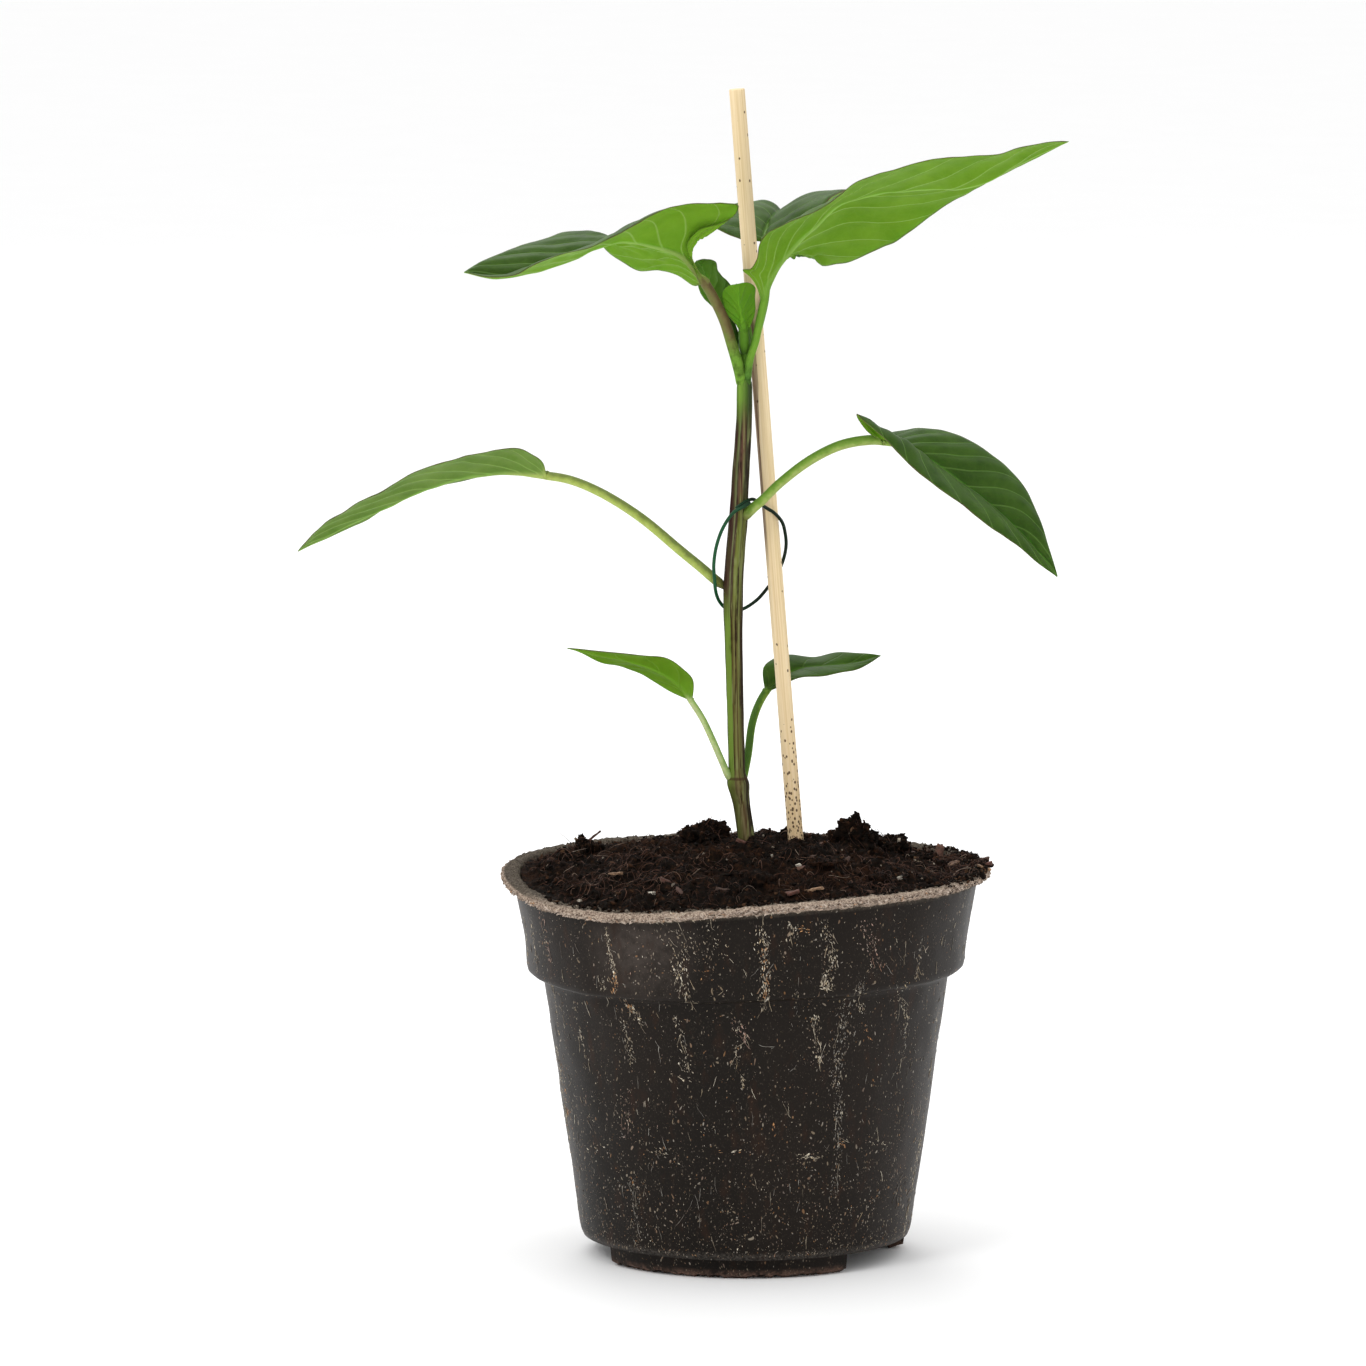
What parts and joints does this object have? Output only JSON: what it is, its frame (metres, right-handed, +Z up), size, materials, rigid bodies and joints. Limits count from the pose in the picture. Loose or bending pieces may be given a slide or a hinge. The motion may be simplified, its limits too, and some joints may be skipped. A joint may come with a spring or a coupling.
{
  "type": "potted pepper plant",
  "caption": "Young pepper plant growing in the soil of a round fibre nursery pot, held to a bamboo stick by a coated wire clip.",
  "frame": {"origin": "centre of the pot's underside, on the surface that the pot stands on", "axes": "+Z up along the pot's axis; -Y is the front, which the picture shows; +X is the picture's right"},
  "size_m": [0.1941, 0.129, 0.2965],
  "materials": {
    "pot_fibre": "satin",
    "soil": "matte",
    "stem_bark": "satin",
    "leaf": "satin",
    "young_leaf": "satin",
    "cane": "matte",
    "wire_coat": "satin"
  },
  "bodies": {
    "root": {"pot": "pot_fibre", "potting_soil": "soil", "stem": "stem_bark", "shoot_tip": "young_leaf", "seed_leaf_left": "leaf", "seed_leaf_right": "leaf", "leaf_middle_left": "leaf", "leaf_middle_right": "leaf", "leaf_top_left": "leaf", "leaf_top_right": "leaf", "leaf_top_back": "leaf", "bamboo_stick": "cane", "tie_ring": "wire_coat"}
  },
  "joints": []
}
